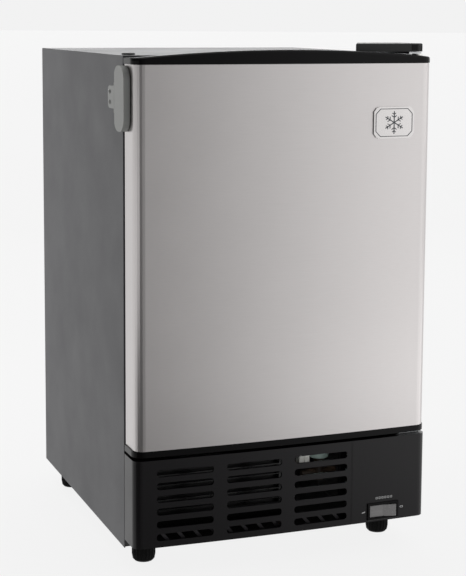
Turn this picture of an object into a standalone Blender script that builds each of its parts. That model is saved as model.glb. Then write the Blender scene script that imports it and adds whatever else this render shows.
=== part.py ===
"""Under-counter ice maker: bowed steel door, grey cabinet, front grille, machine bay and ice tray.

Sizes are in millimetres in the cabinet's own frame: x = 0 on the cabinet's centre plane, y = 0 at
the door's front corner line, +y to the back, z = 0 on the floor. SHIFT moves the whole machine so
that the origin is the bottom centre of its bounding box. +Z is up and the door faces -Y.
"""

import math

import bmesh
import bpy

MM = 0.001
GAP = 0.3

# Cabinet
TRIM_HALF = 189.0
SKIN_HALF = 187.5
SHELL_HALF = 188.0
SHELL_FRONT = 44.5
SHELL_BACK = 435.4
SHELL_BOTTOM = 25.5
SHELL_TOP = 610.4
SHEET = 1.2
BACK_FACE = 436.8
STEP_Y = 290.0
STEP_Z = 232.0
BAY_TOP = 153.1

# Cold space
LINER_HALF = 154.5
LINER_BACK = 400.0
LINER_TOP = 576.0
LINER_FLOOR = 178.0
LINER_STEP_Y = 268.0
LINER_STEP_Z = 258.0
LINER_WALL = 2.5

# Door
DOOR_BOW = 4.4
DOOR_CORNER = 12.0
DOOR_BACK = 38.7
SKIN_LOW = 154.2
SKIN_HIGH = 601.0
TRIM_LOW = 146.7
LIP_END = 608.6
LIP_MIDDLE = 617.6
GRIP_FLOOR = 608.2
PIVOT = (176.5, 19.0)
PIN_R = 3.0
BUSH_R = 5.2
COVER_TOP = 624.4

# Kick panel, grille and switch
KICK_LOW = 37.5
KICK_HIGH = 142.7
KICK_BACK = 39.5
KICK_BOW = 4.2
KICK_CORNER = 10.0
KICK_WALL = 2.5
SLOT_SIZE = (70.0, 8.6)
SLOT_COLUMNS = (-127.0, -40.5, 46.0)
SLOT_TOP = 126.5
SLOT_PITCH = 15.4
SLOT_ROWS = 6
SWITCH_X = 130.5
SWITCH_Z = 50.5

# Travel latch on the left side
LATCH_OUT = 196.0
LATCH_AXIS = (-192.3, 56.5)
LATCH_Z = 561.5
KNUCKLE_R = 3.1

# Badge on the door
BADGE_CENTRE = (135.5, 530.5)
BADGE_SIZE = (54.0, 38.0)
BADGE_RISE = 1.6

# Fan, ice tray and feet
FAN_AXIS = (-86.0, 87.0)
EJECTOR_AXIS = (301.0, 482.0)
MOULD_X = (-100.0, 80.0)
CRESCENTS = 7
ARM_AXIS = (256.0, 432.0)
FEET = ((-157.0, 67.0), (157.0, 67.0), (-165.0, 380.0), (165.0, 380.0))
COMPRESSOR = (-70.0, 362.0)
VALVE_PLACE = (72.0, 62.0)
CONDENSER_END = 22.0
TUBE_X = CONDENSER_END + 5.0
FIN_GAPS = 14
FIN_PITCH = 6.2

# The rocker's raised side stands furthest forward, and the latch furthest to the left.
ROCKER_OUT = 6.6
SHIFT = ((LATCH_OUT - TRIM_HALF) / 2, (ROCKER_OUT - BACK_FACE) / 2, 0.0)


def clear_scene():
    for obj in list(bpy.data.objects):
        bpy.data.objects.remove(obj, do_unlink=True)


def finish(name, colour, roughness, metallic=0.0):
    """A Principled material of one colour."""
    mat = bpy.data.materials.new(name)
    mat.use_nodes = True
    shader = mat.node_tree.nodes["Principled BSDF"]
    shader.inputs["Base Color"].default_value = (*colour, 1.0)
    shader.inputs["Roughness"].default_value = roughness
    shader.inputs["Metallic"].default_value = metallic
    mat.diffuse_color = (*colour, 1.0)
    return mat


def add(name, points, faces, mat, origin=(0.0, 0.0, 0.0), bevel=0.0, segments=2):
    """One closed body from points in cabinet millimetres; origin is where its joint axis passes."""
    made = bmesh.new()
    for x, y, z in points:
        made.verts.new(((x - origin[0]) * MM, (y - origin[1]) * MM, (z - origin[2]) * MM))
    made.verts.ensure_lookup_table()
    for face in faces:
        made.faces.new([made.verts[i] for i in face])
    bmesh.ops.recalc_face_normals(made, faces=made.faces)
    if bevel:
        bmesh.ops.bevel(
            made,
            geom=list(made.edges),
            offset=bevel * MM,
            segments=segments,
            affect="EDGES",
            profile=0.5,
        )
    mesh = bpy.data.meshes.new(name)
    made.to_mesh(mesh)
    made.free()
    for polygon in mesh.polygons:
        polygon.use_smooth = True
    mesh.set_sharp_from_angle(angle=math.radians(35))
    obj = bpy.data.objects.new(name, mesh)
    bpy.context.scene.collection.objects.link(obj)
    obj.location = [(origin[i] + SHIFT[i]) * MM for i in range(3)]
    if mat:
        mesh.materials.append(mat)
    return obj


def box(name, xs, ys, zs, mat=None, bevel=0.0, segments=2, origin=(0.0, 0.0, 0.0)):
    points = [(x, y, z) for x in xs for y in ys for z in zs]
    faces = [(0, 1, 3, 2), (4, 6, 7, 5), (0, 4, 5, 1), (2, 3, 7, 6), (0, 2, 6, 4), (1, 5, 7, 3)]
    return add(name, points, faces, mat, origin, bevel, segments)


def loft(name, sections, mat=None, origin=(0.0, 0.0, 0.0), bevel=0.0):
    """Skin over outlines with the same number of points, closed at both ends."""
    count = len(sections[0])
    points = [point for section in sections for point in section]
    faces = []
    for row in range(len(sections) - 1):
        for i in range(count):
            j = (i + 1) % count
            low = row * count
            faces.append((low + i, low + j, low + count + j, low + count + i))
    faces.append(tuple(range(count)))
    faces.append(tuple((len(sections) - 1) * count + i for i in range(count)))
    return add(name, points, faces, mat, origin, bevel)


def prism(name, outline, axis, low, high, mat=None, origin=(0.0, 0.0, 0.0), bevel=0.0):
    """Outline pulled along X (y, z pairs), Y (x, z pairs) or Z (x, y pairs)."""
    def at(pair, along):
        if axis == "X":
            return (along, pair[0], pair[1])
        if axis == "Y":
            return (pair[0], along, pair[1])
        return (pair[0], pair[1], along)

    sections = [[at(pair, along) for pair in outline] for along in (low, high)]
    return loft(name, sections, mat, origin, bevel)


def rounded(centre, size, radius, steps=5):
    """Rectangle with round corners, as pairs."""
    outline = []
    half = (size[0] / 2 - radius, size[1] / 2 - radius)
    for quarter, (sx, sy) in enumerate(((1, 1), (-1, 1), (-1, -1), (1, -1))):
        for i in range(steps + 1):
            turn = math.radians(90 * (quarter + i / steps))
            outline.append(
                (
                    centre[0] + sx * half[0] + radius * math.cos(turn),
                    centre[1] + sy * half[1] + radius * math.sin(turn),
                )
            )
    return outline


def lathe(name, profile, centre, axis, mat=None, steps=32, origin=(0.0, 0.0, 0.0)):
    """Turned body. The profile is (radius, height) pairs; ends on the axis close it, else it's a ring."""
    def at(radius, height, turn):
        a = radius * math.cos(turn)
        b = radius * math.sin(turn)
        if axis == "X":
            return (centre[0] + height, centre[1] + a, centre[2] + b)
        if axis == "Y":
            return (centre[0] + a, centre[1] + height, centre[2] + b)
        return (centre[0] + a, centre[1] + b, centre[2] + height)

    points = []
    rings = []
    for radius, height in profile:
        if radius == 0:
            rings.append([len(points)] * steps)
            points.append(at(0.0, height, 0.0))
            continue
        rings.append([len(points) + i for i in range(steps)])
        points += [at(radius, height, math.tau * i / steps) for i in range(steps)]
    open_ends = profile[0][0] == 0 and profile[-1][0] == 0
    pairs = list(zip(rings, rings[1:]))
    if not open_ends:
        pairs.append((rings[-1], rings[0]))
    faces = []
    for low, high in pairs:
        for i in range(steps):
            j = (i + 1) % steps
            face = []
            for index in (low[i], low[j], high[j], high[i]):
                if index not in face:
                    face.append(index)
            faces.append(tuple(face))
    return add(name, points, faces, mat, origin)


def rod(name, radius, centre, axis, low, high, mat=None, steps=24, origin=(0.0, 0.0, 0.0)):
    profile = [(0.0, low), (radius, low), (radius, high), (0.0, high)]
    return lathe(name, profile, centre, axis, mat, steps, origin)


def bend(points, radius, steps=5):
    """Path with its inner corners rounded."""
    out = [points[0]]
    for before, corner, after in zip(points, points[1:], points[2:]):
        into = [b - c for b, c in zip(before, corner)]
        away = [a - c for a, c in zip(after, corner)]
        into_length = math.sqrt(sum(v * v for v in into))
        away_length = math.sqrt(sum(v * v for v in away))
        reach = min(radius, into_length / 2.2, away_length / 2.2)
        start = [c + v / into_length * reach for c, v in zip(corner, into)]
        end = [c + v / away_length * reach for c, v in zip(corner, away)]
        for i in range(steps + 1):
            t = i / steps
            out.append(
                tuple(
                    (1 - t) ** 2 * s + 2 * t * (1 - t) * c + t * t * e
                    for s, c, e in zip(start, corner, end)
                )
            )
    out.append(points[-1])
    return out


def cross(a, b):
    return (a[1] * b[2] - a[2] * b[1], a[2] * b[0] - a[0] * b[2], a[0] * b[1] - a[1] * b[0])


def unit(v):
    length = math.sqrt(sum(c * c for c in v))
    return tuple(c / length for c in v)


def tube(name, path, radius, mat, sides=10, origin=(0.0, 0.0, 0.0)):
    """Round rod along a path, with a frame carried along it."""
    sections = []
    side = None
    for i, point in enumerate(path):
        before = path[max(i - 1, 0)]
        after = path[min(i + 1, len(path) - 1)]
        along = unit(tuple(a - b for a, b in zip(after, before)))
        if side is None:
            side = unit(cross(along, (0.3, 0.2, 0.93)))
        up = unit(cross(side, along))
        side = unit(cross(along, up))
        ring = []
        for k in range(sides):
            turn = math.tau * k / sides
            c = radius * math.cos(turn)
            s = radius * math.sin(turn)
            ring.append(tuple(p + c * a + s * b for p, a, b in zip(point, side, up)))
        sections.append(ring)
    return loft(name, sections, mat, origin)


def change(obj, other, operation):
    """Boolean with a helper that stays hidden."""
    other.hide_render = True
    other.display_type = "WIRE"
    modifier = obj.modifiers.new(operation.title(), "BOOLEAN")
    modifier.operation = operation
    modifier.solver = "EXACT"
    modifier.object = other


def cut(obj, *others):
    for other in others:
        change(obj, other, "DIFFERENCE")


def join(obj, *others):
    for other in others:
        change(obj, other, "UNION")


def front_y(x, half, bow, corner):
    """Front face of a bowed panel with round upright corners."""
    inner = half - corner
    if abs(x) <= inner:
        return -bow * (1 - (x / half) ** 2)
    start = -bow * (1 - (inner / half) ** 2)
    over = min(abs(x) - inner, corner)
    return start + corner - math.sqrt(corner * corner - over * over)


def front_xs(half, corner, steps=20, corner_steps=6):
    """Places across a bowed panel, close together round its corners."""
    inner = half - corner
    xs = [-inner + 2 * inner * i / steps for i in range(steps + 1)]
    turns = [math.radians(90 * i / corner_steps) for i in range(1, corner_steps + 1)]
    right = [inner + corner * math.sin(turn) for turn in turns]
    return [-x for x in reversed(right)] + xs + right


def panel_sections(half, bow, corner, back, low, high, ahead=0.0):
    """Rectangular sections across a bowed panel."""
    sections = []
    for x in front_xs(half, corner):
        y = front_y(x, half, bow, corner) + ahead
        sections.append([(x, y, low), (x, y, high), (x, back, high), (x, back, low)])
    return sections


def build_cabinet():
    painted = finish("painted_side", (0.22, 0.22, 0.23), 0.4, 0.3)
    zinc = finish("zinc_sheet", (0.55, 0.56, 0.57), 0.4, 1.0)
    foam = finish("foam", (0.85, 0.8, 0.55), 0.9)
    white = finish("white_plastic", (0.85, 0.86, 0.87), 0.35)
    shell = box("outer_shell", (-188.0, 188.0), (SHELL_FRONT, SHELL_BACK), (SHELL_BOTTOM, SHELL_TOP), painted)
    inner = SHELL_HALF - SHEET
    cut(
        shell,
        box("shell_hollow", (-inner, inner), (SHELL_FRONT + SHEET, 460.0), (0.0, SHELL_TOP - SHEET)),
        box("shell_mouth", (-174.0, 174.0), (20.0, 60.0), (-20.0, 596.4)),
        box("shell_foot", (-inner, inner), (20.0, 60.0), (-20.0, 152.0)),
    )
    box("rear_panel", (-187.7, 187.7), (SHELL_BACK + GAP, BACK_FACE), (236.0, 610.0), zinc)
    grille = box("rear_grille", (-187.7, 187.7), (SHELL_BACK + GAP, BACK_FACE), (27.0, 235.4), zinc)
    vents = []
    for column in range(2):
        for row in range(9):
            outline = rounded((-90.0 + 115.0 * column, 75.0 + 16.0 * row), (90.0, 6.0), 2.9, 3)
            vents.append(prism(f"vent_{column}_{row}", outline, "Y", 420.0, 450.0))
    join_meshes(vents)
    cut(
        grille,
        vents[0],
        rod("valve_hole", 14.0, (150.0, 0.0, 70.0), "Y", 420.0, 450.0),
        rod("gland_hole", 9.3, (150.0, 0.0, 120.0), "Y", 420.0, 450.0),
    )
    pan = box("base_pan", (-186.4, 186.4), (46.5, 434.9), (26.0, 42.0), zinc)
    cut(pan, box("pan_hollow", (-184.9, 184.9), (48.0, 433.4), (27.5, 60.0)))
    holes = [rod(f"stud_hole_{i}", 4.6, (x, y, 0.0), "Z", 10.0, 50.0) for i, (x, y) in enumerate(FEET)]
    join_meshes(holes)
    cut(pan, holes[0])
    box("front_rail", (-186.4, 186.4), (46.5, 59.6), (146.6, 151.6), zinc, bevel=0.6)
    outline = [
        (59.9, BAY_TOP - SHEET), (STEP_Y, BAY_TOP - SHEET), (STEP_Y, STEP_Z - SHEET), (434.9, STEP_Z - SHEET),
        (434.9, STEP_Z), (STEP_Y - SHEET, STEP_Z), (STEP_Y - SHEET, BAY_TOP), (59.9, BAY_TOP),
    ]
    prism("bay_divider", outline, "X", -186.4, 186.4, zinc)
    outline = [
        (47.4, BAY_TOP + GAP), (STEP_Y - SHEET - GAP, BAY_TOP + GAP), (STEP_Y - SHEET - GAP, STEP_Z + GAP),
        (434.9, STEP_Z + GAP), (434.9, 608.9), (47.4, 608.9),
    ]
    filling = prism("cabinet_foam", outline, "X", -186.4, 186.4, foam)
    cut(filling, liner_block("foam_hollow", -GAP, 20.0, None))
    liner = liner_block("inner_liner", 0.0, 47.0, white)
    flange = box("liner_flange", (-173.6, 173.6), (SHELL_FRONT, 47.0), (153.6, 596.0))
    join(liner, flange)
    cut(liner, liner_block("liner_hollow", LINER_WALL, 20.0, None))


def join_meshes(objects):
    """Put the separate bodies of several cutters into the first one's mesh."""
    joined = bmesh.new()
    for obj in objects:
        joined.from_mesh(obj.data)
    joined.to_mesh(objects[0].data)
    joined.free()
    for obj in objects[1:]:
        bpy.data.objects.remove(obj, do_unlink=True)


def liner_block(name, inset, mouth, mat):
    """Stepped block of the cold space, set in from the liner's outside."""
    outline = [
        (mouth, LINER_FLOOR + inset), (LINER_STEP_Y - inset, LINER_FLOOR + inset),
        (LINER_STEP_Y - inset, LINER_STEP_Z + inset), (LINER_BACK - inset, LINER_STEP_Z + inset),
        (LINER_BACK - inset, LINER_TOP - inset), (mouth, LINER_TOP - inset),
    ]
    return prism(name, outline, "X", -LINER_HALF + inset, LINER_HALF - inset, mat)


def build_door():
    steel = finish("brushed_front", (0.62, 0.61, 0.6), 0.32, 1.0)
    black = finish("black_plastic", (0.02, 0.02, 0.022), 0.25)
    white = finish("door_liner_white", (0.86, 0.87, 0.88), 0.35)
    foam = finish("door_foam", (0.85, 0.8, 0.55), 0.9)
    rubber = finish("gasket_rubber", (0.03, 0.03, 0.032), 0.7)
    nylon = finish("nylon", (0.8, 0.8, 0.78), 0.5)
    chrome = finish("badge_chrome", (0.8, 0.8, 0.8), 0.15, 1.0)
    pivot = (*PIVOT, 0.0)

    outer = [(x, front_y(x, SKIN_HALF, DOOR_BOW, DOOR_CORNER)) for x in front_xs(SKIN_HALF, DOOR_CORNER)]
    inner_half = SKIN_HALF - 0.8
    inner_xs = front_xs(inner_half, DOOR_CORNER - 0.8)
    inner = [(x, front_y(x, inner_half, DOOR_BOW, DOOR_CORNER - 0.8) + 0.8) for x in inner_xs]
    outline = [(-SKIN_HALF, DOOR_BACK), *outer, (SKIN_HALF, DOOR_BACK), (inner_half, DOOR_BACK)]
    outline += [*reversed(inner), (-inner_half, DOOR_BACK)]
    prism("door_skin", outline, "Z", SKIN_LOW, SKIN_HIGH, steel, pivot)

    sections = panel_sections(SKIN_HALF - 1.1, DOOR_BOW, DOOR_CORNER - 1.1, 30.7, 160.8, 594.2, 1.15)
    loft("door_foam", sections, foam, pivot)

    liner = box("door_liner", (-186.3, 186.3), (31.0, DOOR_BACK), (154.5, 600.7), white, origin=pivot)
    outline = rounded((0.0, 378.0), (270.0, 370.0), 18.0)
    dyke = prism("dyke", outline, "Y", 36.0, 56.0, origin=pivot, bevel=0.0)
    well = prism("dyke_well", rounded((0.0, 378.0), (236.0, 336.0), 14.0), "Y", 42.0, 70.0, origin=pivot)
    join(liner, dyke)
    cut(liner, well)

    gasket = prism("door_gasket", rounded((0.0, 378.0), (348.0, 432.0), 6.0), "Y", 39.0, 44.2, rubber, pivot)
    hollow = prism("gasket_hollow", rounded((0.0, 378.0), (322.0, 406.0), 4.0), "Y", 30.0, 60.0, origin=pivot)
    outline = rounded((0.0, 378.0), (362.0, 446.0), 8.0)
    groove = prism("gasket_groove", outline, "Y", 40.6, 42.4, origin=pivot)
    core = prism("gasket_core", rounded((0.0, 378.0), (342.0, 426.0), 5.0), "Y", 40.0, 43.0, origin=pivot)
    cut(groove, core)
    cut(gasket, hollow, groove)

    sections = []
    for x in front_xs(TRIM_HALF, DOOR_CORNER + 1.5):
        y = front_y(x, TRIM_HALF, DOOR_BOW + 0.6, DOOR_CORNER + 1.5)
        lip = LIP_END + (LIP_MIDDLE - LIP_END) * (1 - (x / TRIM_HALF) ** 2)
        pairs = [
            (DOOR_BACK, SKIN_HIGH + GAP), (y + 0.5, SKIN_HIGH + GAP), (y, SKIN_HIGH + 1.0),
            (y, lip - 3.2), (y + 0.5, lip - 1.6), (y + 1.6, lip - 0.5), (y + 3.2, lip), (y + 7.0, lip),
            (y + 8.6, lip - 0.3), (y + 9.6, lip - 0.5), (y + 11.2, GRIP_FLOOR), (DOOR_BACK - 1.0, GRIP_FLOOR),
            (DOOR_BACK, GRIP_FLOOR - 1.0),
        ]
        sections.append([(x, a, b) for a, b in pairs])
    trim = loft("door_top_trim", sections, black, pivot)
    sections = panel_sections(SKIN_HALF - 1.1, DOOR_BOW, DOOR_CORNER - 1.1, 30.7, 594.5, 603.0, 1.15)
    join(trim, loft("top_plug", sections, None, pivot))
    cut(trim, rod("top_bush_hole", BUSH_R + GAP, (*PIVOT, 0.0), "Z", 580.0, 630.0, origin=pivot))

    trim = loft(
        "door_bottom_trim",
        panel_sections(TRIM_HALF, DOOR_BOW + 0.6, DOOR_CORNER + 1.5, DOOR_BACK, TRIM_LOW, SKIN_LOW - GAP),
        black,
        pivot,
    )
    sections = panel_sections(SKIN_HALF - 1.1, DOOR_BOW, DOOR_CORNER - 1.1, 30.7, 152.0, 160.5, 1.15)
    join(trim, loft("bottom_plug", sections, None, pivot))
    cut(trim, rod("bottom_bush_hole", BUSH_R + GAP, (*PIVOT, 0.0), "Z", 130.0, 170.0, origin=pivot))

    for name, low, high in (("door_bush_top", 595.0, 607.9), ("door_bush_bottom", 147.0, 160.2)):
        profile = [(PIN_R + GAP, low), (BUSH_R, low), (BUSH_R, high), (PIN_R + GAP, high)]
        lathe(name, profile, (*PIVOT, 0.0), "Z", nylon, 28, pivot)

    sections = []
    half = BADGE_SIZE[0] / 2
    for i in range(17):
        x = -half + half * i / 8
        tall = BADGE_SIZE[1] / 2
        over = max(abs(x) - (half - 8.0), 0.0)
        tall -= 8.0 - math.sqrt(max(64.0 - over * over, 4.0))
        at = BADGE_CENTRE[0] + x
        y = front_y(at, SKIN_HALF, DOOR_BOW, DOOR_CORNER) - GAP
        z = BADGE_CENTRE[1]
        front = y - BADGE_RISE
        sections.append([(at, y, z - tall), (at, y, z + tall), (at, front, z + tall), (at, front, z - tall)])
    loft("door_badge", sections, chrome, pivot)


def build_hinges():
    black = finish("hinge_black", (0.02, 0.02, 0.022), 0.35)
    zinc = finish("hinge_zinc", (0.6, 0.6, 0.6), 0.35, 1.0)
    pin = finish("hinge_pin_steel", (0.75, 0.75, 0.74), 0.25, 1.0)
    outline = [(12.0, 612.0), (50.0, 612.0), (50.0, 610.7), (74.0, 610.7), (74.0, 614.2), (12.0, 614.2)]
    bracket = prism("hinge_bracket_top", outline, "X", 127.0, 178.4, zinc)
    cut(bracket, box("bracket_notch", (100.0, 162.0), (0.0, 46.0), (600.0, 630.0)))
    profile = [(0.0, 596.5), (PIN_R, 596.5), (PIN_R, 608.8), (6.2, 608.8), (6.2, 611.7), (0.0, 611.7)]
    lathe("hinge_pin_top", profile, (*PIVOT, 0.0), "Z", pin, 28)
    outline = [(91.0, 12.0), (180.6, 12.0), (180.6, 78.0), (123.0, 78.0)]
    cover = prism("hinge_cover", outline, "Z", 610.7, COVER_TOP, black, bevel=1.6)
    cut(
        cover,
        box("cover_front", (80.0, 200.0), (0.0, 46.0), (600.0, 614.6)),
        box("cover_pocket", (125.0, 178.9), (40.0, 75.7), (600.0, 614.5)),
    )
    plug = [(0.0, 610.7), (8.0, 610.7), (8.0, 612.2), (6.6, 612.8), (0.0, 612.8)]
    lathe("hinge_plug", plug, (-173.0, 72.0, 0.0), "Z", black, 28)
    outline = rounded((168.0, 35.0), (34.0, 54.0), 5.0)
    prism("hinge_bracket_bottom", outline, "Z", 143.1, 146.2, zinc)
    rod("hinge_pin_bottom", PIN_R, (*PIVOT, 0.0), "Z", 146.5, 159.6, pin, 28)


def around_switch(name, half_width, half_height, front, back):
    """A box centred on the switch, from one depth to another."""
    across = (SWITCH_X - half_width, SWITCH_X + half_width)
    return box(name, across, (front, back), (SWITCH_Z - half_height, SWITCH_Z + half_height))


def build_front():
    black = finish("kick_black", (0.025, 0.025, 0.028), 0.4)
    gloss = finish("bezel_black", (0.015, 0.015, 0.016), 0.2)
    smoke = finish("rocker_smoke", (0.35, 0.35, 0.36), 0.3)
    box_white = finish("control_box", (0.7, 0.7, 0.68), 0.5)
    corner = KICK_CORNER
    panel = loft(
        "kick_panel",
        panel_sections(TRIM_HALF, KICK_BOW, corner, KICK_BACK, KICK_LOW, KICK_HIGH),
        black,
    )
    collar = box("kick_collar", (-185.4, 185.4), (30.0, 44.2), (41.0, 139.6))
    join(panel, collar)
    sections = panel_sections(TRIM_HALF - 5.6, KICK_BOW, corner - 2.0, 60.0, 43.0, 137.6, KICK_WALL)
    cut(panel, loft("kick_hollow", sections))
    slots = []
    for column in SLOT_COLUMNS:
        for row in range(SLOT_ROWS):
            z = SLOT_TOP - SLOT_PITCH * row
            slots.append(prism("slot", rounded((column, z), SLOT_SIZE, 3.6, 4), "Y", -20.0, 8.0))
    join_meshes(slots)
    cut(panel, slots[0], around_switch("switch_hole", 19.9, 9.2, -20.0, 18.0))

    sections = []
    for i in range(9):
        x = SWITCH_X - 21.2 + 42.4 * i / 8
        y = front_y(x, TRIM_HALF, KICK_BOW, corner) - GAP
        low = SWITCH_Z - 10.6
        high = SWITCH_Z + 10.6
        sections.append(
            [(x, y, low), (x, y - 1.2, low), (x, y - 1.6, low + 0.4), (x, y - 1.6, high - 0.4),
             (x, y - 1.2, high), (x, y, high)]
        )
    bezel = loft("switch_bezel", sections, gloss)
    face = front_y(SWITCH_X, TRIM_HALF, KICK_BOW, corner)
    join(bezel, around_switch("bezel_body", 19.6, 8.9, face - 1.2, 16.0))
    cut(bezel, around_switch("bezel_hole", 18.3, 7.7, -20.0, 14.0))
    axis = (SWITCH_X, face + 4.0, SWITCH_Z)
    outline = [(-17.4, -4.6), (0.0, -4.6), (15.6, -8.4), (16.6, -7.6)]
    outline += [(17.2, -3.0), (16.8, 0.0), (8.0, 4.5), (-8.0, 4.5), (-17.4, 1.0)]
    outline = [(x + axis[0], y + axis[1]) for x, y in outline]
    prism("switch_rocker", outline, "Z", SWITCH_Z - 7.2, SWITCH_Z + 7.2, smoke, axis)
    box("control_box", (100.0, 172.0), (62.0, 128.0), (44.0, 132.0), box_white, bevel=2.0)


def knuckle_arc(first, last):
    """Points round the latch pin, in sixteenths of a turn from first up to last."""
    turns = [math.pi * step / 8 for step in range(first, last)]
    x, y = LATCH_AXIS
    return [(x + KNUCKLE_R * math.cos(turn), y + KNUCKLE_R * math.sin(turn)) for turn in turns]


def build_latch():
    grey = finish("latch_grey", (0.42, 0.43, 0.43), 0.45)
    pin = finish("latch_pin_steel", (0.7, 0.7, 0.7), 0.3, 1.0)
    x, y = LATCH_AXIS
    origin = (x, y, LATCH_Z)
    outline = rounded((y - 21.5, LATCH_Z), (40.0, 75.5), 17.0, 8)
    leaf = prism("latch_leaf", outline, "X", -LATCH_OUT, -188.4, grey, origin)
    lugs = []
    for low, high in ((-17.5, -9.6), (9.6, 17.5)):
        outline = knuckle_arc(-2, 11)
        outline += [(x - KNUCKLE_R, y - 6.0), (x + KNUCKLE_R, y - 6.0)]
        lugs.append(prism(f"lug_{low}", outline, "Z", LATCH_Z + low, LATCH_Z + high, None, origin))
    tall = (LATCH_Z - 60.0, LATCH_Z + 60.0)
    cut(leaf, box("leaf_notch", (-200.0, -180.0), (y - 3.8, y + 8.0), tall, origin=origin))
    join(leaf, *lugs)
    bore = rod("leaf_bore", 1.5, (x, y, 0.0), "Z", 520.0, 600.0, None, 16, origin)
    cut(leaf, bore)
    base = prism("latch_base", rounded((y + 18.8, LATCH_Z), (28.6, 26.4), 6.0), "X", -192.9, -188.3, grey)
    outline = knuckle_arc(6, 19)
    outline += [(x + KNUCKLE_R, y + 8.0), (x - 0.1, y + 8.0)]
    join(base, prism("base_knuckle", outline, "Z", LATCH_Z - 9.2, LATCH_Z + 9.2))
    cut(base, rod("base_bore", 1.5, (x, y, 0.0), "Z", 520.0, 600.0, None, 16))
    rod("latch_pin", 1.2, (x, y, 0.0), "Z", LATCH_Z - 17.0, LATCH_Z + 17.0, pin, 16)


def build_bay():
    steel = finish("compressor_black", (0.03, 0.03, 0.032), 0.4)
    zinc = finish("bay_zinc", (0.6, 0.6, 0.6), 0.4, 1.0)
    rubber = finish("grommet_rubber", (0.04, 0.04, 0.04), 0.8)
    black = finish("fan_black", (0.05, 0.05, 0.055), 0.5)
    copper = finish("copper", (0.75, 0.4, 0.25), 0.3, 1.0)
    valve = finish("valve_green", (0.45, 0.6, 0.55), 0.5)
    nylon = finish("valve_nylon", (0.8, 0.82, 0.84), 0.4)

    cx, cy = COMPRESSOR
    profile = [
        (0.0, 36.4), (44.0, 36.4), (56.0, 42.0), (62.0, 56.0), (63.0, 92.0), (66.5, 93.0), (66.5, 97.0),
        (63.0, 98.0), (62.0, 130.0), (55.0, 148.0), (40.0, 159.0), (20.0, 164.0), (0.0, 165.0),
    ]
    lathe("compressor", profile, (cx, cy, 0.0), "Z", steel, 40)
    plate = prism("compressor_plate", rounded((cx, cy), (140.0, 132.0), 8.0), "Z", 33.4, 36.0, zinc)
    corners = [(cx + sx * 58.0, cy + sy * 54.0) for sx in (-1, 1) for sy in (-1, 1)]
    holes = [rod("plate_hole", 4.9, (x, y, 0.0), "Z", 20.0, 50.0) for x, y in corners]
    join_meshes(holes)
    cut(plate, holes[0])
    for i, (x, y) in enumerate(corners):
        profile = [
            (0.0, 27.8), (8.0, 27.8), (8.0, 33.1), (4.6, 33.1), (4.6, 36.3), (7.0, 36.3), (5.5, 40.0),
            (0.0, 40.0),
        ]
        lathe(f"grommet_{i + 1}", profile, (x, y, 0.0), "Z", rubber, 20)

    condenser = box("condenser", (-170.0, CONDENSER_END), (62.0, 84.0), (46.0, 136.0), steel)
    fins = []
    for i in range(FIN_GAPS):
        low = 48.0 + FIN_PITCH * i
        fins.append(box("fin_gap", (-166.0, CONDENSER_END - 4.0), (50.0, 72.0), (low, low + FIN_PITCH - 1.2)))
    join_meshes(fins)
    cut(condenser, fins[0])
    fx, fz = FAN_AXIS
    shroud = box("fan_shroud", (-172.0, 0.0), (90.0, 93.0), (44.0, 140.0), black)
    cut(shroud, rod("shroud_hole", 45.0, (fx, 0.0, fz + 4.0), "Y", 80.0, 100.0, None, 48))
    hub = (fx, 0.0, fz + 4.0)
    origin = (fx, 105.0, fz + 4.0)
    profile = [(0.0, 98.0), (12.0, 98.0), (14.0, 100.0), (14.0, 112.0), (0.0, 112.0)]
    blade = lathe("fan_blade", profile, hub, "Y", black, 30, origin)
    for i in range(5):
        sections = []
        for k in range(5):
            radius = 11.0 + 7.8 * k
            pitch = math.radians(42 - 4 * k)
            chord = 9.0 + 2.2 * k
            turn = math.tau * i / 5 + 0.05 * k
            section = []
            for along, thick in ((-1, -1), (1, -1), (1, 1), (-1, 1)):
                a = along * chord * math.cos(pitch) - thick * 0.7 * math.sin(pitch)
                b = along * chord * 0.55 * math.sin(pitch) + thick * 0.7 * math.cos(pitch)
                section.append(
                    (
                        hub[0] + radius * math.cos(turn) - a * math.sin(turn),
                        105.0 + b,
                        hub[2] + radius * math.sin(turn) + a * math.cos(turn),
                    )
                )
            sections.append(section)
        join(blade, loft(f"vane_{i}", sections, None, origin))
    profile = [
        (0.0, 112.4), (2.4, 112.4), (2.4, 118.0), (20.0, 118.0), (22.0, 120.0), (22.0, 146.0), (18.0, 150.0),
        (0.0, 150.0),
    ]
    motor = lathe("fan_motor", profile, hub, "Y", zinc, 32)
    bracket = [
        (-168.0, 93.4), (-165.0, 93.4), (-165.0, 141.0), (-7.0, 141.0), (-7.0, 93.4), (-4.0, 93.4),
        (-4.0, 144.0), (-168.0, 144.0),
    ]
    join(motor, prism("motor_bracket", bracket, "Z", hub[2] - 6.0, hub[2] + 6.0))

    drier = [(0.0, 0.0), (3.0, 0.0), (3.2, 6.0), (9.5, 16.0)]
    drier += [(9.5, 72.0), (3.2, 82.0), (3.0, 88.0), (0.0, 88.0)]
    lathe("filter_drier", drier, (40.0, 220.0, 70.0), "Y", copper, 24)
    path = [
        (-40.0, 303.0, 120.0), (-40.0, 275.0, 120.0), (-20.0, 250.0, 116.0), (-20.0, 190.0, 100.0),
        (-20.0, 165.0, 60.0), (TUBE_X, 125.0, 60.0), (TUBE_X, 72.0, 60.0),
    ]
    tube("discharge_tube", bend(path, 18.0), 3.2, copper)
    body = lathe(
        "hot_gas_valve",
        [(0.0, 0.0), (11.0, 0.0), (12.0, 1.0), (12.0, 27.0), (11.0, 28.0), (0.0, 28.0)],
        (*VALVE_PLACE, 107.0),
        "Z",
        valve,
        28,
    )
    join(
        body,
        rod("valve_stem", 6.0, (*VALVE_PLACE, 0.0), "Z", 78.0, 108.0),
        rod("valve_pipe", 4.0, (*VALVE_PLACE, 88.0), "X", -24.0, 22.0),
    )

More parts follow.
